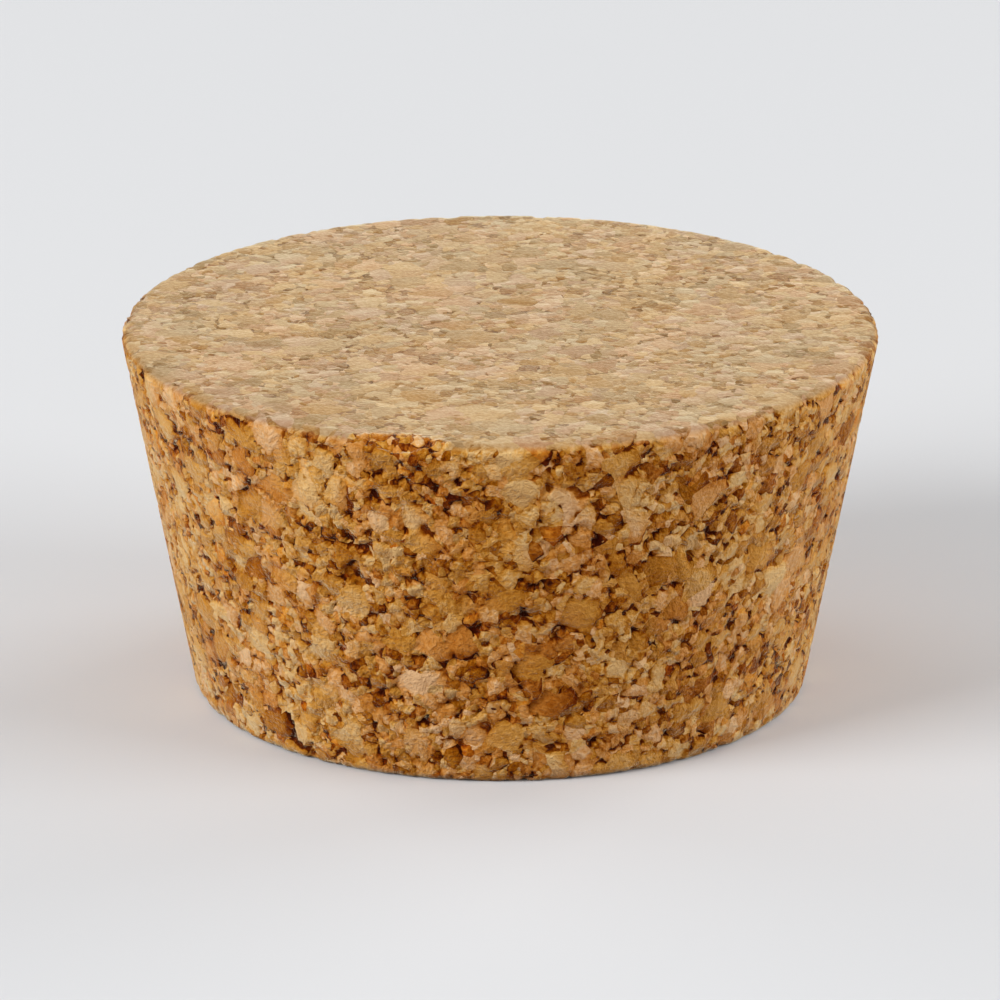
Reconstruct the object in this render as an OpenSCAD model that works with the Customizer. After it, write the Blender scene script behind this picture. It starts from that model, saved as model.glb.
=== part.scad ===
// Tapered stopper ground from pressed cork, for the mouth of a jar or a flask.
// It stands on its narrow end. +Z is its axis and the origin is the centre of the foot.
// Sizes are in millimetres and angles in degrees.

/* [Plug] */
// Diameter of the wide end, at the corner that the wall and the top face would make
top_d = 61; // [54:0.5:90]
// Diameter of the narrow end, at the corner that the wall and the foot would make
foot_d = 49.5; // [30:0.5:53]
// Height from the foot to the top face
height = 30; // [18:0.5:45]

/* [Edges] */
// Radius that grinding and handling left on the rim of the wide end
rim_r = 0.5; // [0.2:0.1:2]
// Radius on the edge of the narrow end
foot_r = 0.4; // [0.2:0.1:2]

/* [Chip in the rim] */
// Length of the chip, as a chord of the ball that scoops it
chip_len = 9; // [3:0.5:14]
// Depth of the chip below the rounded rim
chip_depth = 0.8; // [0.4:0.1:1.5]
// Direction that the chip faces, up from level
chip_rise = 62; // [10:1:80]
// Place of the chip around the axis, from +X towards +Y
chip_turn = 255; // [0:1:359]

/* [Hidden] */
$fn = 180;

top_rad = top_d / 2;
foot_rad = foot_d / 2;

// Lean of the wall from upright, and its length along the slope
taper = atan((top_rad - foot_rad) / height);
wall_len = height / cos(taper);

// The rim is sharper than a right angle by the taper, and the foot's edge is blunter by it.
// Each round starts this far from its corner, on the end face and on the wall alike.
rim_run = rim_r / tan((90 - taper) / 2);
foot_run = foot_r / tan((90 + taper) / 2);

// Centres of the two rounds in the half section
rim_centre = [top_rad - rim_run, height - rim_r];
foot_centre = [foot_rad - foot_run, foot_r];

// Ball that has a chord of chip_len at chip_depth, and how far it stands from the rim's round
chip_ball_r = (pow(chip_len / 2, 2) + pow(chip_depth, 2)) / (2 * chip_depth);
chip_stand = rim_r + chip_ball_r - chip_depth;

// Point on the wall, a given way up its slope from the foot's corner
function on_wall(way) = [foot_rad + way * sin(taper), way * cos(taper)];

// Half section of the plug, with both edges rounded by true arcs
module half_section() {
    polygon([
        [0, 0],
        [foot_centre[0], 0],
        on_wall(foot_run),
        on_wall(wall_len - rim_run),
        [rim_centre[0], height],
        [0, height]
    ]);
    translate(foot_centre) circle(foot_r);
    translate(rim_centre) circle(rim_r);
}

// Ball that scoops the chip out of the rim
module chip_ball() {
    rotate([0, 0, chip_turn])
        translate([rim_centre[0], 0, rim_centre[1]])
            rotate([0, -chip_rise, 0])
                translate([chip_stand, 0, 0])
                    sphere(chip_ball_r);
}

module stopper() {
    color("#B98B55")
        difference() {
            rotate_extrude() half_section();
            chip_ball();
        }
}

stopper();
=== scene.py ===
"""Looks of a tapered stopper ground from pressed cork.

The stopper is one piece. Its mesh starts as the smooth turned form, and the granules, pores and
crumbled rims are then cut into it by the same pattern that colours it, so that a pore whose colour
is darkened with painted shade is a real pore in the surface.
"""

import logging
import math
from collections.abc import Mapping
from dataclasses import dataclass, field
from enum import Enum

import bpy
import numpy as np
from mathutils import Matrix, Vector

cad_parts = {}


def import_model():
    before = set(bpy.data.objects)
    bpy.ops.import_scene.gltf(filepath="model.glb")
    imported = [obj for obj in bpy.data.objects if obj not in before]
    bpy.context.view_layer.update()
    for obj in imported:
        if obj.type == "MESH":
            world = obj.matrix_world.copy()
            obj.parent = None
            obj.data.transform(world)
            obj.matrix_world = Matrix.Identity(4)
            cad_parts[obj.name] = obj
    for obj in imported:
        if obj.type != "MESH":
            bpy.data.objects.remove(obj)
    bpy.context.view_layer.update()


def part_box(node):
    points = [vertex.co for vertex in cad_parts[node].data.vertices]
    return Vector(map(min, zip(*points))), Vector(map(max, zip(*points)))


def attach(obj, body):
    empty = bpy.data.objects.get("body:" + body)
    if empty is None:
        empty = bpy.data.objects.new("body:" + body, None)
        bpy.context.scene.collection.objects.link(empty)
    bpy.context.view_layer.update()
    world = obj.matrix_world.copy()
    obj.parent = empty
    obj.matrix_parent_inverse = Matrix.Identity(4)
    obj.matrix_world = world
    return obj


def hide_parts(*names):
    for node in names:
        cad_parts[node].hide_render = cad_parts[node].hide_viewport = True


LOG = logging.getLogger("stopper")
NODE = "stopper"
MM = 0.001
# Middle of three random numbers or of a noise, which all run from 0 to 1.
MIDDLE = (0.5, 0.5, 0.5)

Socket = bpy.types.NodeSocket
Feed = Socket | float | int | tuple | str | bool


def linear(hex_code: str) -> tuple[float, float, float, float]:
    """Turns an sRGB hex value into linear RGBA.

    Args:
        hex_code: Six hex digits after a #.

    Returns:
        Linear red, green and blue, with an alpha of 1.
    """
    parts = [int(hex_code[i : i + 2], 16) / 255 for i in (1, 3, 5)]
    flat = [c / 12.92 if c <= 0.04045 else ((c + 0.055) / 1.055) ** 2.4 for c in parts]
    return (*flat, 1.0)


@dataclass
class Graph:
    """A node tree that is being laid out."""

    tree: bpy.types.NodeTree

    def add(
        self,
        kind: str,
        feeds: Mapping[str | int, Feed] | None = None,
        out: str | int = 0,
        **settings: object,
    ) -> Socket | None:
        """Adds a node with its settings and links.

        Args:
            kind: The node's type.
            feeds: What goes into each input, a socket to link or a value to set.
            out: The output that is wanted.
            **settings: The node's own properties.

        Returns:
            The wanted output socket, or nothing for a node that only takes.
        """
        node = self.tree.nodes.new(kind)
        for name, value in settings.items():
            setattr(node, name, value)
        for key, value in (feeds or {}).items():
            if isinstance(value, Socket):
                self.tree.links.new(value, node.inputs[key])
            else:
                node.inputs[key].default_value = value
        return node.outputs[out] if node.outputs else None


class Carried(Enum):
    """Values that the mesh carries to its material, by the name of the attribute."""

    CUT_FACE = "cut_face"
    OPEN = "open_grain"
    RIM = "rim"


@dataclass(frozen=True)
class Grade:
    """One sieve grade of cork granules.

    Attributes:
        size: Width of a granule, in mm.
        share: Part of the space left by the coarser grades that this grade fills.
        tilt: Slope at which grinding tore a granule's face, at the most.
        facet: Slope at which a granule's broken sides fall away from its middle.
        turn: How the grade's granules lie, so that their facets don't line up, in radians.
    """

    size: float
    share: float
    tilt: float
    facet: float
    turn: tuple[float, float, float]


@dataclass(frozen=True)
class Granules:
    """Sockets of the pattern of granules at a point of the surface.

    Attributes:
        draw: Three random numbers of the granule.
        reach: Distance from the middle of the granule, in granule widths.
        grade: The granule's grade, from 0 for the coarsest to 1 for the finest.
        sink: Depth of the granule's face below the cut, in mm.
        pore: How open the pore is here, from 0 to 1.
        space: The point in ragged granule space, in mm.
    """

    draw: Socket
    reach: Socket
    grade: Socket
    sink: Socket
    pore: Socket
    space: Socket


@dataclass(frozen=True)
class GranulePattern:
    """Granules of cork pressed together, as a pattern in space.

    The same pattern is laid in the mesh's node tree and in the material's.

    Attributes:
        grades: Granules from coarse to fine. The last grade fills what is left.
        ragged_mm: Size of the wobble in the granules' outlines, in mm.
        ragged_reach: How far the wobble strays to either side, in mm.
        pore_mm: Distance over which pores open and close, in mm.
        pore_noise: Values of the noise at which pores are closed and open.
        pore_reach: Where a pore starts in closed and in open places, in granule widths.
    """

    grades: tuple[Grade, ...] = (
        Grade(size=2.3, share=0.22, tilt=0.16, facet=0.03, turn=(0.5, 0.3, 0.2)),
        Grade(size=1.4, share=0.42, tilt=0.26, facet=0.06, turn=(0.2, 0.7, 0.9)),
        Grade(size=0.77, share=1.0, tilt=0.34, facet=0.10, turn=(0.8, 0.4, 0.6)),
    )
    ragged_mm: float = 1.3
    ragged_reach: float = 0.17
    pore_mm: float = 1.1
    pore_noise: tuple[float, float] = (0.35, 0.65)
    pore_reach: tuple[float, float] = (1.5, 1.0)

    def lay(self, graph: Graph, where: Socket, side: float) -> Granules:
        """Lays the pattern's nodes.

        Args:
            graph: The tree to lay them in.
            where: The point, in metres.
            side: Width over which a pore's side falls, in mm.

        Returns:
            The pattern's sockets.
        """
        straight = graph.add(
            "ShaderNodeVectorMath", {0: where, 1: (1 / MM,) * 3}, operation="MULTIPLY"
        )
        wobble = graph.add(
            "ShaderNodeTexNoise",
            {"Vector": straight, "Scale": 1 / self.ragged_mm, "Detail": 0.0},
            out="Color",
        )
        wobble = graph.add(
            "ShaderNodeVectorMath", {0: wobble, 1: MIDDLE}, operation="SUBTRACT"
        )
        space = graph.add(
            "ShaderNodeVectorMath",
            {0: wobble, 1: (2 * self.ragged_reach,) * 3, 2: straight},
            operation="MULTIPLY_ADD",
        )
        draw = far = sink = None
        fineness = 1.0
        for place, grade in reversed(list(enumerate(self.grades))):
            lie = graph.add(
                "ShaderNodeVectorRotate",
                {"Vector": space, "Rotation": grade.turn},
                rotation_type="EULER_XYZ",
            )
            own = graph.add(
                "ShaderNodeTexVoronoi",
                {"Vector": lie, "Scale": 1 / grade.size},
                out="Color",
                feature="F1",
                distance="MANHATTAN",
            )
            away = own.node.outputs["Distance"]
            torn = self._torn_face(graph, grade, lie, own)
            if draw is None:
                draw, far, sink = own, away, torn
                continue
            pick = graph.add("ShaderNodeSeparateXYZ", {0: own}, out="X")
            here = graph.add(
                "ShaderNodeMath", {0: pick, 1: grade.share}, operation="LESS_THAN"
            )
            far = graph.add("ShaderNodeMix", {0: here, 2: far, 3: away})
            sink = graph.add("ShaderNodeMix", {0: here, 2: sink, 3: torn})
            own_grade = place / (len(self.grades) - 1)
            fineness = graph.add("ShaderNodeMix", {0: here, 2: fineness, 3: own_grade})
            draw = graph.add(
                "ShaderNodeMix", {0: here, 4: draw, 5: own}, out=1, data_type="VECTOR"
            )
        sink = graph.add("ShaderNodeMath", {0: sink, 1: 0.0}, operation="MAXIMUM")
        patch = graph.add(
            "ShaderNodeTexNoise",
            {"Vector": straight, "Scale": 1 / self.pore_mm, "Detail": 1.0},
        )
        shut, opened = self.pore_noise
        last, first = self.pore_reach
        start = graph.add(
            "ShaderNodeMapRange", {0: patch, 1: shut, 2: opened, 3: last, 4: first}
        )
        inside = graph.add("ShaderNodeMath", {0: far, 1: start}, operation="SUBTRACT")
        half = side / self.grades[-1].size / 2
        pore = graph.add(
            "ShaderNodeMapRange",
            {0: inside, 1: -half, 2: half},
            interpolation_type="SMOOTHSTEP",
        )
        return Granules(
            draw=draw, reach=far, grade=fineness, sink=sink, pore=pore, space=space
        )

    def _torn_face(self, graph: Graph, grade: Grade, lie: Socket, own: Socket) -> Socket:
        """Lays the sloping face that grinding left on a granule.

        Args:
            graph: The tree.
            grade: The granule's grade.
            lie: The point, turned as the grade lies.
            own: The granule's random numbers, from the node that finds the granule.

        Returns:
            The depth below the cut, in mm, which is less than 0 above it.
        """
        found = own.node.outputs
        arm = graph.add(
            "ShaderNodeVectorMath", {0: lie, 1: found["Position"]}, operation="SUBTRACT"
        )
        lean = graph.add("ShaderNodeVectorMath", {0: own, 1: MIDDLE}, operation="SUBTRACT")
        slope = graph.add(
            "ShaderNodeVectorMath", {0: arm, 1: lean}, out="Value", operation="DOT_PRODUCT"
        )
        fall = graph.add(
            "ShaderNodeMath",
            {0: found["Distance"], 1: grade.facet * grade.size},
            operation="MULTIPLY",
        )
        return graph.add(
            "ShaderNodeMath", {0: slope, 1: 2 * grade.tilt, 2: fall}, operation="MULTIPLY_ADD"
        )


@dataclass(frozen=True)
class ToneScale:
    """Colours of one kind of granule, from the painted shade at the bottom of a pore to its palest
    fleck.

    Attributes:
        stops: Places on the scale of tone, from 0 to 1, and the colours there.
    """

    stops: tuple[tuple[float, str], ...]

    def read(self, graph: Graph, tone: Socket) -> Socket:
        """Lays the scale in a material.

        Args:
            graph: The material's tree.
            tone: The place to read.

        Returns:
            The colour socket.
        """
        ramp = graph.add("ShaderNodeValToRGB", {0: tone})
        elements = ramp.node.color_ramp.elements
        while len(elements) < len(self.stops):
            elements.new(0.5)
        for element, (position, hex_code) in zip(elements, self.stops):
            element.position = position
            element.color = linear(hex_code)
        return ramp


@dataclass(frozen=True)
class PressedCork:
    """Pressed cork, ground on the wall and sanded on both ends.

    Cork granules glued under pressure and cut: matt, warm and mottled, each granule of its own
    tone, with pores where granules meet. Pores and the grooves towards each granule's sides are
    darkened in colour with painted shade. The ground wall is open-grained and deep in colour.
    The sanded ends are closed by fine dust and look paler and flatter. Torn cell walls stand up
    as a fine fuzz, which makes both paler at a grazing angle.

    Attributes:
        pattern: The granules.
        golden: Colours of a golden granule.
        rosy: Colours of a rosy granule. Most granules lie between the two.
        rusty: Colours of a granule from near the bark.
        sanded: Colours of a golden granule under sanding dust.
        sanded_rosy: Colours of a rosy granule under sanding dust.
        rusty_share: Part of the granules that are rusty, in the coarsest and the finest grade.
        coarse_tone: Range of the coarsest granules' own tones.
        fine_tone: Range of the finest granules' own tones, which has more bark in it.
        mottle: How far flecks reach on the scale of tone, in the coarsest and the finest granules.
        end_mottle: The same on the sanded ends.
        fleck_mm: Size of the largest flecks within a granule, in mm.
        fleck_detail: How often flecks are drawn again at half their size.
        fleck_fade: Strength of each such drawing against the one before.
        fleck_noise: Values of the noise that are the darkest and the palest fleck.
        drift: How far patches of granules stray together on the scale of tone.
        drift_mm: Size of such a patch, in mm.
        painted_crevice_shade: How far a granule's colour darkens towards its sides, painted shade of
            the grooves between granules.
        painted_crevice_shade_reach: Where that painted shade starts and ends, in granule widths from
            its middle.
        pore_shade: How far a pore's colour is darkened by painted shade of its depth, on the sanded
            ends and on the wall.
        pore_side: Width over which a pore's painted shade starts, in mm.
        end_tone: Tone that the sanded ends keep near to.
        end_spread: How much of the wall's spread of tone the sanded ends keep.
        cast_patch: How much a patch of granules leans to one cast, against each granule's own lot.
        cast_turn: Sum of the two at which a granule is golden, and at which it is rosy.
        dust: How much the dust covers a granule of the sanded ends, at the least and the most.
        dust_patch: How much the dust lies in patches, against each granule's own lot.
        dust_turn: Sum of the two at which the dust is thinnest, and at which it is thickest.
        dust_shuffle: Stretch that makes a new lot of the number that gave the granule its cast.
        fleck_relief: Height over the flecks' whole noise, from 0 to 1, in mm. Pale flecks stand higher.
        fine_relief: How much of the fine relief shows on the sanded ends and on the wall.
        roughness: Roughness of the cut cell walls.
        specular: Their gloss, next to none because the cells swallow it.
        sheen: Strength of the fuzz.
        sheen_roughness: How far the fuzz shows from a grazing angle.
        sheen_hex: Colour of the fuzz.
    """

    pattern: GranulePattern = field(default_factory=GranulePattern)
    golden: ToneScale = ToneScale(
        (
            (0.00, "#3E1000"),
            (0.20, "#783300"),
            (0.40, "#AB6308"),
            (0.60, "#CF8D32"),
            (0.80, "#E6AB54"),
            (1.00, "#F4CC8C"),
        )
    )
    rosy: ToneScale = ToneScale(
        (
            (0.00, "#411000"),
            (0.20, "#7B3200"),
            (0.40, "#AD6113"),
            (0.60, "#D28A3A"),
            (0.80, "#E7A962"),
            (1.00, "#F5CA98"),
        )
    )
    rusty: ToneScale = ToneScale(
        (
            (0.00, "#451000"),
            (0.20, "#803000"),
            (0.40, "#B35D08"),
            (0.60, "#D88626"),
            (0.80, "#EBA646"),
            (1.00, "#F6C886"),
        )
    )
    sanded: ToneScale = ToneScale(
        (
            (0.00, "#492D14"),
            (0.25, "#6A4C2B"),
            (0.50, "#8B724C"),
            (0.70, "#A28A6A"),
            (1.00, "#BDA68A"),
        )
    )
    sanded_rosy: ToneScale = ToneScale(
        (
            (0.00, "#4B2B15"),
            (0.25, "#6C4B2E"),
            (0.50, "#8D7050"),
            (0.70, "#A6886F"),
            (1.00, "#C0A48F"),
        )
    )
    rusty_share: tuple[float, float] = (0.04, 0.03)
    coarse_tone: tuple[float, float] = (0.42, 0.96)
    fine_tone: tuple[float, float] = (0.12, 0.97)
    mottle: tuple[float, float] = (0.16, 0.29)
    end_mottle: float = 0.29
    fleck_mm: float = 0.34
    fleck_detail: float = 3.0
    fleck_fade: float = 0.65
    fleck_noise: tuple[float, float] = (0.25, 0.75)
    drift: float = 0.25
    drift_mm: float = 6.0
    painted_crevice_shade: float = 0.28
    painted_crevice_shade_reach: tuple[float, float] = (0.7, 1.25)
    pore_shade: tuple[float, float] = (0.28, 0.42)
    pore_side: float = 0.12
    end_tone: float = 0.62
    end_spread: float = 0.60
    cast_patch: float = 1.4
    cast_turn: tuple[float, float] = (1.15, 1.55)
    dust: tuple[float, float] = (0.60, 0.85)
    dust_patch: float = 1.2
    dust_turn: tuple[float, float] = (0.6, 1.6)
    dust_shuffle: float = 7.0
    fleck_relief: float = 0.30
    fine_relief: tuple[float, float] = (0.3, 1.0)
    roughness: float = 0.6
    specular: float = 0.03
    sheen: float = 1.0
    sheen_roughness: float = 0.27
    sheen_hex: str = "#E2DBBC"

    def build(self) -> bpy.types.Material:
        """Builds the material.

        Returns:
            The finished material.
        """
        material = bpy.data.materials.new("pressed_cork_ground")
        material.use_nodes = True
        material.node_tree.nodes.clear()
        graph = Graph(material.node_tree)
        where = graph.add(
            "ShaderNodeAttribute", out="Vector", attribute_name=Carried.CUT_FACE.value
        )
        open_grain = graph.add(
            "ShaderNodeAttribute", out="Fac", attribute_name=Carried.OPEN.value
        )
        granules = self.pattern.lay(graph, where, self.pore_side)
        fleck = graph.add(
            "ShaderNodeTexNoise",
            {
                "Vector": granules.space,
                "Scale": 1 / self.fleck_mm,
                "Detail": self.fleck_detail,
                "Roughness": self.fleck_fade,
            },
        )
        colour = self._colour(graph, granules, fleck, open_grain)
        relief = self._fine_relief(graph, granules, fleck, open_grain)
        normal = graph.add(
            "ShaderNodeBump", {"Strength": 1.0, "Distance": MM, "Height": relief}
        )
        surface = graph.add(
            "ShaderNodeBsdfPrincipled",
            {
                "Base Color": colour,
                "Roughness": self.roughness,
                "Specular IOR Level": self.specular,
                "Sheen Weight": self.sheen,
                "Sheen Roughness": self.sheen_roughness,
                "Sheen Tint": linear(self.sheen_hex),
                "Normal": normal,
            },
        )
        graph.add("ShaderNodeOutputMaterial", {"Surface": surface})
        return material

    def _tone(
        self, graph: Graph, granules: Granules, fleck: Socket, patch: Socket, open_grain: Socket
    ) -> Socket:
        """Gives each granule its tone, and darkens pores and crevices with painted shade.

        Args:
            graph: The material's tree.
            granules: The pattern.
            fleck: Fine noise over the granules.
            patch: Coarse noise that a patch of granules shares.
            open_grain: 1 on the ground wall and 0 on the sanded ends.

        Returns:
            The place on the scale of tone.
        """
        own = graph.add("ShaderNodeSeparateXYZ", {0: granules.draw}, out="Y")
        own = graph.add("ShaderNodeMath", {0: own}, operation="SQRT")
        darkest, palest, strength = (
            graph.add("ShaderNodeMapRange", {0: granules.grade, 3: coarse, 4: fine})
            for coarse, fine in (*zip(self.coarse_tone, self.fine_tone), self.mottle)
        )
        tone = graph.add("ShaderNodeMix", {0: own, 2: darkest, 3: palest})
        strength = graph.add(
            "ShaderNodeMix", {0: open_grain, 2: self.end_mottle, 3: strength}
        )
        dark, pale = self.fleck_noise
        mottle = graph.add(
            "ShaderNodeMapRange", {0: fleck, 1: dark, 2: pale, 3: -1.0, 4: 1.0}
        )
        stray = graph.add(
            "ShaderNodeMapRange", {0: patch, 3: -self.drift, 4: self.drift}
        )
        # Painted shade: the colour darkens towards each granule's sides, where the grooves between
        # granules fall into shade.
        start, end = self.painted_crevice_shade_reach
        painted_crevice_shade = graph.add(
            "ShaderNodeMapRange",
            {0: granules.reach, 1: start, 2: end, 3: 0.0, 4: -self.painted_crevice_shade},
            interpolation_type="SMOOTHSTEP",
        )
        # Painted shade: pores are darkened in colour for the shade inside them, on top of the shallow
        # pores cut into the mesh.
        on_end, on_wall = self.pore_shade
        painted_pore_shade = graph.add(
            "ShaderNodeMapRange", {0: open_grain, 3: -on_end, 4: -on_wall}
        )
        for change, share in (
            (mottle, strength),
            (stray, open_grain),
            (painted_crevice_shade, open_grain),
            (granules.pore, painted_pore_shade),
        ):
            tone = graph.add(
                "ShaderNodeMath", {0: change, 1: share, 2: tone}, operation="MULTIPLY_ADD"
            )
        spread = graph.add(
            "ShaderNodeMapRange", {0: open_grain, 3: self.end_spread, 4: 1.0}
        )
        apart = graph.add("ShaderNodeMath", {0: tone, 1: self.end_tone}, operation="SUBTRACT")
        return graph.add(
            "ShaderNodeMath", {0: apart, 1: spread, 2: self.end_tone}, operation="MULTIPLY_ADD"
        )

    def _colour(
        self, graph: Graph, granules: Granules, fleck: Socket, open_grain: Socket
    ) -> Socket:
        """Gives each granule its tone and cast, and the sanded ends their dust.

        Args:
            graph: The material's tree.
            granules: The pattern.
            fleck: Fine noise over the granules.
            open_grain: 1 on the ground wall and 0 on the sanded ends.

        Returns:
            The colour socket.
        """
        patch = graph.add(
            "ShaderNodeTexNoise",
            {"Vector": granules.space, "Scale": 1 / self.drift_mm, "Detail": 0.0},
            out="Color",
        )
        patch = graph.add("ShaderNodeSeparateXYZ", {0: patch}, out="X")
        tone = self._tone(graph, granules, fleck, patch, open_grain)
        golden, rosy, rusty, sanded, sanded_rosy = (
            scale.read(graph, tone)
            for scale in (self.golden, self.rosy, self.rusty, self.sanded, self.sanded_rosy)
        )
        chance = graph.add("ShaderNodeSeparateXYZ", {0: granules.draw}, out="Z")
        warm = graph.add(
            "ShaderNodeMath",
            {0: patch.node.outputs["Y"], 1: self.cast_patch, 2: chance},
            operation="MULTIPLY_ADD",
        )
        start, end = self.cast_turn
        cast = graph.add(
            "ShaderNodeMapRange", {0: warm, 1: start, 2: end}, interpolation_type="SMOOTHSTEP"
        )
        coarse, fine = self.rusty_share
        limit = graph.add(
            "ShaderNodeMapRange", {0: granules.grade, 3: 1 - coarse, 4: 1 - fine}
        )
        rust = graph.add("ShaderNodeMath", {0: chance, 1: limit}, operation="GREATER_THAN")
        lot = graph.add(
            "ShaderNodeMath", {0: chance, 1: self.dust_shuffle}, operation="MULTIPLY"
        )
        lot = graph.add("ShaderNodeMath", {0: lot}, operation="FRACT")
        lot = graph.add(
            "ShaderNodeMath",
            {0: patch.node.outputs["Z"], 1: self.dust_patch, 2: lot},
            operation="MULTIPLY_ADD",
        )
        start, end = self.dust_turn
        thin, thick = self.dust
        cover = graph.add(
            "ShaderNodeMapRange", {0: lot, 1: start, 2: end, 3: thin, 4: thick}
        )
        dusty = graph.add("ShaderNodeMix", {0: open_grain, 2: cover, 3: 0.0})
        dust = graph.add(
            "ShaderNodeMix", {0: cast, 6: sanded, 7: sanded_rosy}, out=2, data_type="RGBA"
        )
        colour = golden
        for share, other in ((cast, rosy), (rust, rusty), (dusty, dust)):
            colour = graph.add(
                "ShaderNodeMix", {0: share, 6: colour, 7: other}, out=2, data_type="RGBA"
            )
        return colour

    def _fine_relief(
        self, graph: Graph, granules: Granules, fleck: Socket, open_grain: Socket
    ) -> Socket:
        """Lays the relief that is too fine for the mesh.

        Args:
            graph: The material's tree.
            granules: The pattern.
            fleck: Fine noise over the granules.
            open_grain: 1 on the ground wall and 0 on the sanded ends.

        Returns:
            The height socket, in mm.
        """
        depth = graph.add(
            "ShaderNodeMath",
            {0: fleck, 1: -self.fleck_relief, 2: granules.sink},
            operation="MULTIPLY_ADD",
        )
        on_end, on_wall = self.fine_relief
        upward = graph.add(
            "ShaderNodeMapRange", {0: open_grain, 3: -on_end, 4: -on_wall}
        )
        return graph.add("ShaderNodeMath", {0: depth, 1: upward}, operation="MULTIPLY")


@dataclass(frozen=True)
class CutRelief:
    """How deep grinding and sanding cut into the granules, and how rims crumbled.

    Attributes:
        pore_depth: Depth of an open pore, in mm.
        pore_side: Width over which a pore's side falls, as steep as the mesh can show, in mm.
        kept: How much of the relief is left on the sanded ends and on the wall.
        proud: How far whole granules stand out of the wall, in mm.
        grain_edge: Width over which the sanded face passes into the wall at a rim, in mm.
        crumble_mm: Size of a crumbled place in a rim, in mm.
        crumble_detail: How often crumbs are drawn again at half that size.
        crumble_noise: Values of the noise at which a rim starts to crumble and is gone.
        crumble_depth: Depth of a crumbled place, in mm.
        crumble_width: How far from a rim's corner it crumbles, in mm.
        foot_share: How much the foot's edge crumbles against the rim of the top.
    """

    pore_depth: float = 0.35
    pore_side: float = 0.4
    kept: tuple[float, float] = (0.2, 0.85)
    proud: float = 0.15
    grain_edge: float = 0.5
    crumble_mm: float = 1.1
    crumble_detail: float = 2.0
    crumble_noise: tuple[float, float] = (0.48, 0.75)
    crumble_depth: float = 0.5
    crumble_width: float = 1.0
    foot_share: float = 0.4


class End(Enum):
    """An end of the stopper, by its place in the half section."""

    FOOT = 0
    TOP = -1


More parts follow.
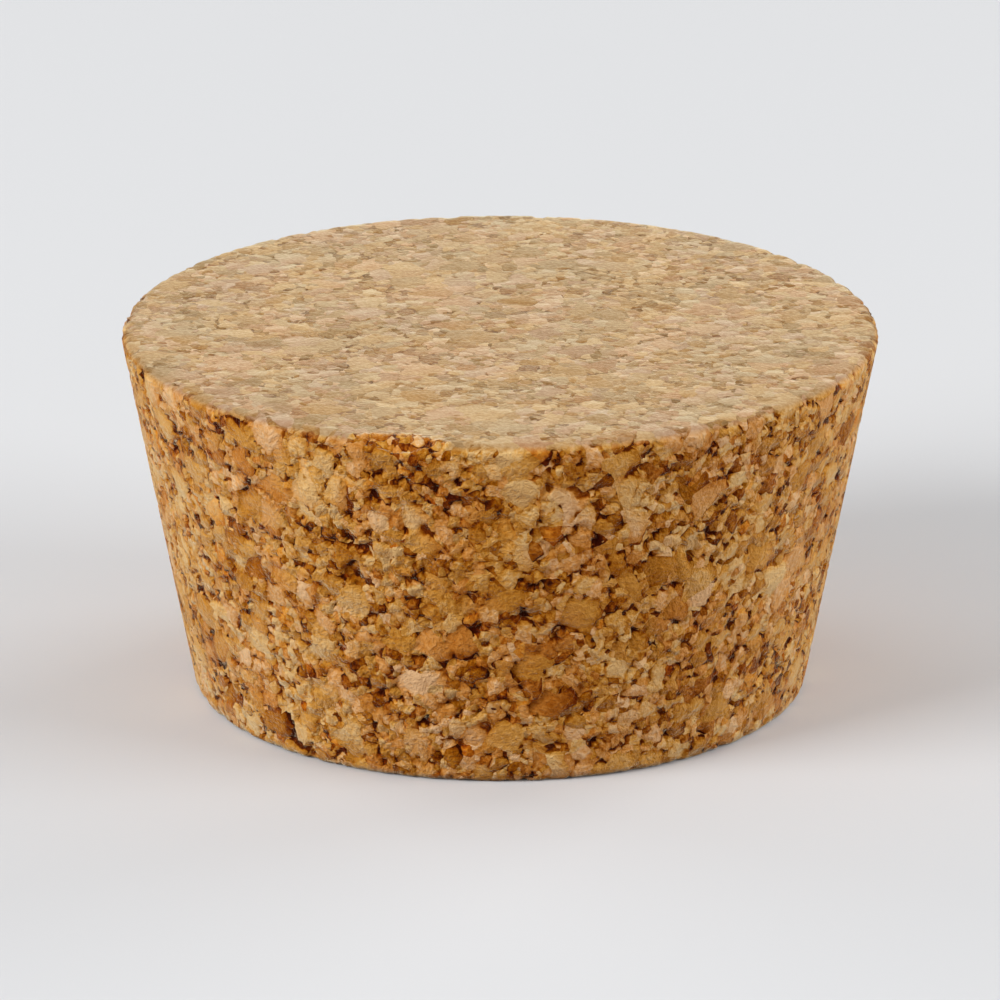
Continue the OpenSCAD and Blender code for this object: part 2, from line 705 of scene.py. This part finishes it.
@dataclass
class Stopper:
    """The stopper, from the foot to the rim.

    Attributes:
        foot_d: Diameter of the foot at its corner, in mm.
        top_d: Diameter of the top at its corner, in mm.
        height: Height, in mm.
        rim_r: Round of the rim, in mm.
        foot_r: Round of the foot's edge, in mm.
        chip_len: Length of the chip in the rim, in mm.
        chip_depth: Depth of the chip, in mm.
        chip_rise: Direction that the chip faces, up from level, in degrees.
        chip_turn: Place of the chip around the axis, in degrees.
        quarter: Mesh steps in a quarter of the rim.
        wall_steps: Mesh steps up the wall.
        round_steps: Mesh steps over each round.
        map_gap: Room between the patches of the bake map, in mm.
        map_room: How much more than the height a strip of the wall takes on that map, in mm.
        relief: How the granules are cut into the mesh.
        cork: The finish.
    """

    foot_d: float = 49.5
    top_d: float = 61.0
    height: float = 30.0
    rim_r: float = 0.5
    foot_r: float = 0.4
    chip_len: float = 9.0
    chip_depth: float = 0.8
    chip_rise: float = 62.0
    chip_turn: float = 255.0
    quarter: int = 140
    wall_steps: int = 97
    round_steps: int = 3
    map_gap: float = 1.0
    map_room: float = 3.0
    relief: CutRelief = field(default_factory=CutRelief)
    cork: PressedCork = field(default_factory=PressedCork)

    @property
    def taper(self) -> float:
        """Lean of the wall from upright."""
        return math.atan2((self.top_d - self.foot_d) / 2, self.height)

    @property
    def rim_run(self) -> float:
        """Distance from the rim's corner to where its round starts, in mm."""
        return self.rim_r / math.tan((math.pi / 2 - self.taper) / 2)

    @property
    def foot_run(self) -> float:
        """Distance from the foot's corner to where its round starts, in mm."""
        return self.foot_r / math.tan((math.pi / 2 + self.taper) / 2)

    @property
    def strip(self) -> float:
        """Height of a strip of the wall on the bake map, in mm."""
        return self.height + self.map_room

    def _arc(self, middle: tuple[float, float], r: float, first: float, last: float) -> np.ndarray:
        """Lays out one round of the half section.

        Args:
            middle: Its centre, as radius and height, in mm.
            r: Its radius, in mm.
            first: Angle at which it starts.
            last: Angle at which it ends.

        Returns:
            Rows of radius and height, in mm.
        """
        angle = np.linspace(first, last, self.round_steps + 1)
        return np.array(middle) + r * np.stack([np.cos(angle), np.sin(angle)], axis=-1)

    def _section(self) -> np.ndarray:
        """Lays out the half section from the flat of the foot to the flat of the top.

        Returns:
            Rows of radius and height, in mm.
        """
        foot_middle = (self.foot_d / 2 - self.foot_run, self.foot_r)
        rim_middle = (self.top_d / 2 - self.rim_run, self.height - self.rim_r)
        foot = self._arc(foot_middle, self.foot_r, -math.pi / 2, -self.taper)
        rim = self._arc(rim_middle, self.rim_r, -self.taper, math.pi / 2)
        wall = np.linspace(foot[-1], rim[0], self.wall_steps + 1)
        return np.concatenate([foot, wall[1:-1], rim])

    def _disc(self) -> tuple[np.ndarray, np.ndarray]:
        """Bends a square grid into a disc of radius 1, so that an end has even quads.

        Returns:
            The grid's points, and the grid places that run round its border.
        """
        n = self.quarter
        step = np.linspace(-1, 1, n + 1)
        a, b = np.meshgrid(step, step, indexing="ij")
        wide = np.abs(a) >= np.abs(b)
        reach = np.where(wide, a, b)
        bend = np.pi / 4 * np.where(wide, b, a) / np.where(reach == 0, 1, reach)
        angle = np.where(wide, bend, np.pi / 2 - bend)
        disc = np.stack([reach * np.cos(angle), reach * np.sin(angle)], axis=-1)
        border = (
            [(n, j) for j in range(n)]
            + [(i, n) for i in range(n, 0, -1)]
            + [(0, j) for j in range(n, 0, -1)]
            + [(i, 0) for i in range(n)]
        )
        return disc, np.array(border).T

    def _turned_form(self) -> bpy.types.Mesh:
        """Builds the smooth form in even quads, with the chip scooped out.

        Returns:
            The mesh, with the bake map and the values that the granules need.
        """
        section = self._section()
        n = self.quarter
        around = 4 * n
        # The border of an end starts at a corner of its grid, half a quarter before the X axis.
        turn = np.radians(-45 + 90 / n * np.arange(around))
        wall = np.stack(
            [
                section[:, :1] * np.cos(turn),
                section[:, :1] * np.sin(turn),
                np.repeat(section[:, 1:], around, axis=1),
            ],
            axis=-1,
        ).reshape(-1, 3)
        rings = np.arange(len(wall)).reshape(-1, around)
        onward = np.roll(rings, -1, axis=1)
        sides = np.stack([rings[:-1], onward[:-1], onward[1:], rings[1:]], axis=-1)
        points = [wall]
        faces = [sides.reshape(-1, 4)]
        places = [self._wall_map(section, around)]
        disc, (rows, columns) = self._disc()
        row = 2 * self.strip
        corners = {End.FOOT: (self.top_d + self.map_gap, row), End.TOP: (0.0, row)}
        count = len(wall)
        for end, corner in corners.items():
            radius, level = section[end.value]
            index = np.zeros((n + 1, n + 1), int)
            index[1:-1, 1:-1] = count + np.arange((n - 1) ** 2).reshape(n - 1, n - 1)
            index[rows, columns] = rings[end.value]
            inner = disc[1:-1, 1:-1].reshape(-1, 2) * radius
            points.append(np.column_stack([inner, np.full(len(inner), level)]))
            count += len(inner)
            spots = disc * radius + radius + np.array(corner) + self.map_gap / 2
            quads = [index[:-1, :-1], index[1:, :-1], index[1:, 1:], index[:-1, 1:]]
            mapped = [spots[:-1, :-1], spots[1:, :-1], spots[1:, 1:], spots[:-1, 1:]]
            if end is End.FOOT:
                quads.reverse()
                mapped.reverse()
            faces.append(np.stack(quads, axis=-1).reshape(-1, 4))
            places.append(np.stack(mapped, axis=-2).reshape(-1, 4, 2))
        points = np.concatenate(points)
        sheet = np.concatenate(places) / (row + self.top_d + self.map_gap)
        chipped = self._chipped(points)
        open_grain, rim = self._grain(points)
        open_grain = np.maximum(open_grain, np.any(chipped != points, axis=1))
        mesh = bpy.data.meshes.new("turned_form")
        mesh.from_pydata((chipped * MM).tolist(), [], np.concatenate(faces).tolist())
        layer = mesh.uv_layers.new(name="OFBake")
        layer.uv.foreach_set("vector", sheet.astype(np.float32).ravel())
        for carried, values in ((Carried.OPEN, open_grain), (Carried.RIM, rim)):
            attribute = mesh.attributes.new(carried.value, "FLOAT", "POINT")
            attribute.data.foreach_set("value", values.astype(np.float32))
        return mesh

    def _wall_map(self, section: np.ndarray, around: int) -> np.ndarray:
        """Unrolls the wall into two strips of the bake map.

        Args:
            section: The half section.
            around: Mesh steps round the wall.

        Returns:
            The places of each wall face's corners on the map, in mm.
        """
        steps = np.linalg.norm(np.diff(section, axis=0), axis=1)
        way = np.concatenate([[0], np.cumsum(steps)])
        half = around // 2
        column = np.arange(around)
        pitch = math.pi * self.top_d / around
        left = (column % half) * pitch + self.map_gap / 2
        base = (column // half) * self.strip + self.map_gap / 2
        corners = []
        for u, v in (
            (left, way[:-1]),
            (left + pitch, way[:-1]),
            (left + pitch, way[1:]),
            (left, way[1:]),
        ):
            rise = v[:, None] + base[None, :]
            corners.append(np.stack([np.broadcast_to(u, rise.shape), rise], axis=-1))
        return np.stack(corners, axis=-2).reshape(-1, 4, 2)

    def _grain(self, points: np.ndarray) -> tuple[np.ndarray, np.ndarray]:
        """Says where the grain is open and where a rim is near.

        Args:
            points: Points of the smooth form, in mm.

        Returns:
            Open grain, 1 on the wall and 0 on the ends, and closeness to a rim, from 0 to 1.
        """
        radius = np.hypot(points[:, 0], points[:, 1])
        side = self.foot_d / 2 + math.tan(self.taper) * points[:, 2]
        from_wall = side - radius
        from_end = np.minimum(points[:, 2], self.height - points[:, 2])
        open_grain = np.clip((from_end - from_wall) / self.relief.grain_edge, 0, 1)
        from_rim = np.hypot(from_wall, from_end)
        rim = np.clip(1 - from_rim / self.relief.crumble_width, 0, 1)
        rim[points[:, 2] < self.height / 2] *= self.relief.foot_share
        return open_grain, rim

    def _chipped(self, points: np.ndarray) -> np.ndarray:
        """Pushes the rim back to the ball that scoops the chip.

        Args:
            points: Points of the smooth form, in mm.

        Returns:
            The points with the chip.
        """
        ball = ((self.chip_len / 2) ** 2 + self.chip_depth**2) / (2 * self.chip_depth)
        stand = self.rim_r + ball - self.chip_depth
        rise = math.radians(self.chip_rise)
        turn = math.radians(self.chip_turn)
        out = self.top_d / 2 - self.rim_run + stand * math.cos(rise)
        middle = np.array(
            [
                out * math.cos(turn),
                out * math.sin(turn),
                self.height - self.rim_r + stand * math.sin(rise),
            ]
        )
        arm = points - middle
        length = np.linalg.norm(arm, axis=1, keepdims=True)
        return np.where(length < ball, middle + arm / length * ball, points)

    def _depth(self, graph: Graph, where: Socket) -> Socket:
        """Lays the depth to which pores, torn granules and crumbled rims are cut.

        Args:
            graph: The mesh's tree.
            where: The point, in metres.

        Returns:
            The depth socket, in mm, which is less than 0 where the granules stand proud.
        """
        cut = self.relief
        open_grain, rim = (
            graph.add("GeometryNodeInputNamedAttribute", {"Name": carried.value})
            for carried in (Carried.OPEN, Carried.RIM)
        )
        granules = self.cork.pattern.lay(graph, where, cut.pore_side)
        depth = graph.add(
            "ShaderNodeMath",
            {0: granules.pore, 1: cut.pore_depth, 2: granules.sink},
            operation="MULTIPLY_ADD",
        )
        on_end, on_wall = cut.kept
        kept = graph.add("ShaderNodeMapRange", {0: open_grain, 3: on_end, 4: on_wall})
        depth = graph.add("ShaderNodeMath", {0: depth, 1: kept}, operation="MULTIPLY")
        crumble = graph.add(
            "ShaderNodeTexNoise",
            {
                "Vector": granules.space,
                "Scale": 1 / cut.crumble_mm,
                "Detail": cut.crumble_detail,
            },
        )
        start, gone = cut.crumble_noise
        crumble = graph.add(
            "ShaderNodeMapRange", {0: crumble, 1: start, 2: gone, 3: 0.0, 4: cut.crumble_depth}
        )
        depth = graph.add(
            "ShaderNodeMath", {0: crumble, 1: rim, 2: depth}, operation="MULTIPLY_ADD"
        )
        proud = graph.add("ShaderNodeMapRange", {0: open_grain, 3: 0.0, 4: cut.proud})
        return graph.add("ShaderNodeMath", {0: depth, 1: proud}, operation="SUBTRACT")

    def _cut_granules(self, piece: bpy.types.Object) -> None:
        """Cuts the granules into the mesh, and keeps the point of the smooth form for the colour.

        Args:
            piece: The smooth form, which gets the finished mesh.
        """
        tree = bpy.data.node_groups.new("granule_relief", "GeometryNodeTree")
        for way in ("INPUT", "OUTPUT"):
            tree.interface.new_socket(
                "Geometry", in_out=way, socket_type="NodeSocketGeometry"
            )
        graph = Graph(tree)
        whole = graph.add("NodeGroupInput")
        where = graph.add("GeometryNodeInputPosition")
        normal = graph.add("GeometryNodeInputNormal")
        depth = self._depth(graph, where)
        inward = graph.add("ShaderNodeMath", {0: depth, 1: -MM}, operation="MULTIPLY")
        offset = graph.add(
            "ShaderNodeVectorMath", {0: normal, "Scale": inward}, operation="SCALE"
        )
        kept = graph.add(
            "GeometryNodeStoreNamedAttribute",
            {"Geometry": whole, "Name": Carried.CUT_FACE.value, 3: where},
            data_type="FLOAT_VECTOR",
            domain="POINT",
        )
        moved = graph.add("GeometryNodeSetPosition", {"Geometry": kept, "Offset": offset})
        graph.add("NodeGroupOutput", {0: moved})
        modifier = piece.modifiers.new("granule_relief", "NODES")
        modifier.node_group = tree
        depsgraph = bpy.context.evaluated_depsgraph_get()
        finished = bpy.data.meshes.new_from_object(
            piece.evaluated_get(depsgraph), preserve_all_data_layers=True, depsgraph=depsgraph
        )
        piece.modifiers.clear()
        smooth = piece.data
        piece.data = finished
        bpy.data.meshes.remove(smooth)
        finished.name = "stopper_body"

    def build(self) -> bpy.types.Object:
        """Builds and dresses the stopper.

        Returns:
            The finished piece.
        """
        piece = bpy.data.objects.new("stopper_body", self._turned_form())
        bpy.context.scene.collection.objects.link(piece)
        self._cut_granules(piece)
        piece.data.shade_smooth()
        piece.data.materials.clear()
        piece.data.materials.append(self.cork.build())
        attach(piece, "root")
        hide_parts(NODE)
        return piece


def seen(graph: Graph) -> Socket:
    """Tells the view, mirrored or through glass too, from light that falls on the stopper.

    Args:
        graph: The tree that asks.

    Returns:
        A socket that is 1 for the view and 0 for light.
    """
    camera = graph.add("ShaderNodeLightPath", out="Is Camera Ray")
    either = camera
    for ray in ("Is Glossy Ray", "Is Transmission Ray"):
        either = graph.add(
            "ShaderNodeMath", {0: either, 1: camera.node.outputs[ray]}, operation="MAXIMUM"
        )
    return either


@dataclass(frozen=True)
class PaintedBoard:
    """Board under matt paint: pale, even and without a highlight, so that it shows soft shadows.

    Attributes:
        paint_hex: Colour of the paint.
        bounce_hex: Colour of the light that it gives back to the stopper.
        fade: Where it starts to pass into the backdrop and where it ends, in m.
        roughness: Roughness of the paint.
        specular: Its gloss.
    """

    paint_hex: str = "#DDDEE0"
    bounce_hex: str = "#7A5426"
    fade: tuple[float, float] = (0.22, 0.75)
    roughness: float = 0.9
    specular: float = 0.1

    def build(self, backdrop_hex: str) -> bpy.types.Material:
        """Builds the material.

        Args:
            backdrop_hex: Colour that the board passes into.

        Returns:
            The finished material.
        """
        material = bpy.data.materials.new("painted_board_matt")
        material.use_nodes = True
        material.node_tree.nodes.clear()
        graph = Graph(material.node_tree)
        view = seen(graph)
        colour = graph.add(
            "ShaderNodeMix",
            {0: view, 6: linear(self.bounce_hex), 7: linear(self.paint_hex)},
            out=2,
            data_type="RGBA",
        )
        surface = graph.add(
            "ShaderNodeBsdfPrincipled",
            {
                "Base Color": colour,
                "Roughness": self.roughness,
                "Specular IOR Level": self.specular,
            },
        )
        place = graph.add("ShaderNodeNewGeometry", out="Position")
        away = graph.add("ShaderNodeVectorMath", {0: place}, out="Value", operation="LENGTH")
        near, far = self.fade
        fade = graph.add(
            "ShaderNodeMapRange", {0: away, 1: near, 2: far}, interpolation_type="SMOOTHSTEP"
        )
        fade = graph.add("ShaderNodeMath", {0: fade, 1: view}, operation="MULTIPLY")
        backdrop = graph.add("ShaderNodeEmission", {"Color": linear(backdrop_hex)})
        surface = graph.add("ShaderNodeMixShader", {0: fade, 1: surface, 2: backdrop})
        graph.add("ShaderNodeOutputMaterial", {"Surface": surface})
        return material


class Role(Enum):
    """What a lamp does in the studio."""

    KEY = "key"
    FILL = "fill"
    LEFT_RIM = "left_rim"
    RIGHT_RIM = "right_rim"


@dataclass(frozen=True)
class Lamp:
    """A soft box.

    Attributes:
        role: What it does.
        place: Where it stands from the stopper's middle, in m.
        side: Width of its square face, in m.
        level: How bright it alone would make a white card that faces it.
    """

    role: Role
    place: tuple[float, float, float]
    side: float
    level: float

    def build(self, target: Vector) -> bpy.types.Object:
        """Hangs the lamp and turns it to the target.

        Args:
            target: The point that it faces.

        Returns:
            The lamp.
        """
        light = bpy.data.lights.new(self.role.value, "AREA")
        light.shape = "SQUARE"
        light.size = self.side
        away = Vector(self.place)
        # A flat lamp of power P makes a white card at distance d as bright as P / (pi * d)^2.
        light.energy = self.level * math.pi**2 * away.length_squared
        lamp = bpy.data.objects.new(self.role.value, light)
        lamp.location = target + away
        lamp.rotation_euler = (-away).to_track_quat("-Z", "Y").to_euler()
        bpy.context.scene.collection.objects.link(lamp)
        return lamp


@dataclass
class Studio:
    """Pale floor, soft light and the photograph's viewpoint.

    Attributes:
        lamps: The soft boxes.
        sky: Brightness of the even light from all round.
        backdrop_hex: Colour behind the floor.
        floor_side: Width of the floor, in m.
        board: The floor's finish.
        distance: From the camera to the stopper's middle, in m.
        elevation: Angle at which the camera looks down, in degrees.
        window_mm: Width of the view at the stopper, in mm.
        sensor: Width of the sensor, in mm.
    """

    lamps: tuple[Lamp, ...] = (
        Lamp(Role.KEY, (-0.92, -0.51, 0.59), side=0.6, level=0.82),
        Lamp(Role.FILL, (1.1, -0.32, 0.48), side=0.7, level=0.55),
        Lamp(Role.LEFT_RIM, (-0.95, 0.75, 0.35), side=0.7, level=0.30),
        Lamp(Role.RIGHT_RIM, (0.95, 0.75, 0.35), side=0.7, level=0.50),
    )
    sky: float = 0.31
    backdrop_hex: str = "#E4E5E7"
    floor_side: float = 12.0
    board: PaintedBoard = field(default_factory=PaintedBoard)
    distance: float = 0.638
    elevation: float = 19.2
    window_mm: float = 81.4
    sensor: float = 36.0

    def build(self, target: Vector) -> None:
        """Builds the floor, the light and the camera.

        Args:
            target: The point that the camera and the lamps face.
        """
        scene = bpy.context.scene
        scene.view_settings.view_transform = "Standard"
        self._floor()
        self._world(scene)
        for lamp in self.lamps:
            lamp.build(target)
        self._camera(scene, target)

    def _floor(self) -> None:
        """Lays the floor, which keeps the shadow."""
        half = self.floor_side / 2
        corners = [(-half, -half, 0), (half, -half, 0), (half, half, 0), (-half, half, 0)]
        mesh = bpy.data.meshes.new("floor")
        mesh.from_pydata(corners, [], [(0, 1, 2, 3)])
        mesh.materials.append(self.board.build(self.backdrop_hex))
        floor = bpy.data.objects.new("floor", mesh)
        bpy.context.scene.collection.objects.link(floor)

    def _world(self, scene: bpy.types.Scene) -> None:
        """Sets the even light and what shows behind the floor.

        Args:
            scene: The scene.
        """
        world = bpy.data.worlds.new("studio")
        world.use_nodes = True
        world.node_tree.nodes.clear()
        graph = Graph(world.node_tree)
        light = graph.add("ShaderNodeBackground", {"Color": (1, 1, 1, 1), "Strength": self.sky})
        shown = graph.add(
            "ShaderNodeBackground", {"Color": linear(self.backdrop_hex), "Strength": 1.0}
        )
        mixed = graph.add("ShaderNodeMixShader", {0: seen(graph), 1: light, 2: shown})
        graph.add("ShaderNodeOutputWorld", {"Surface": mixed})
        scene.world = world

    def _camera(self, scene: bpy.types.Scene, target: Vector) -> None:
        """Stands the camera at the photograph's viewpoint, with a longer lens.

        Args:
            scene: The scene.
            target: The point that it faces.
        """
        data = bpy.data.cameras.new("camera")
        data.sensor_width = self.sensor
        data.lens = self.sensor * self.distance / (self.window_mm * MM)
        camera = bpy.data.objects.new("camera", data)
        down = math.radians(self.elevation)
        away = Vector((0.0, -math.cos(down), math.sin(down))) * self.distance
        camera.location = target + away
        camera.rotation_euler = (-away).to_track_quat("-Z", "Y").to_euler()
        scene.collection.objects.link(camera)
        scene.camera = camera


def main() -> None:
    """Loads the frame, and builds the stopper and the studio."""
    logging.basicConfig(level=logging.INFO, format="%(name)s: %(message)s")
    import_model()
    piece = Stopper().build()
    LOG.info("%s has %d faces", piece.name, len(piece.data.polygons))
    low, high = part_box(NODE)
    Studio().build((low + high) / 2)
    LOG.info("studio is set")


if __name__ == "__main__":
    main()
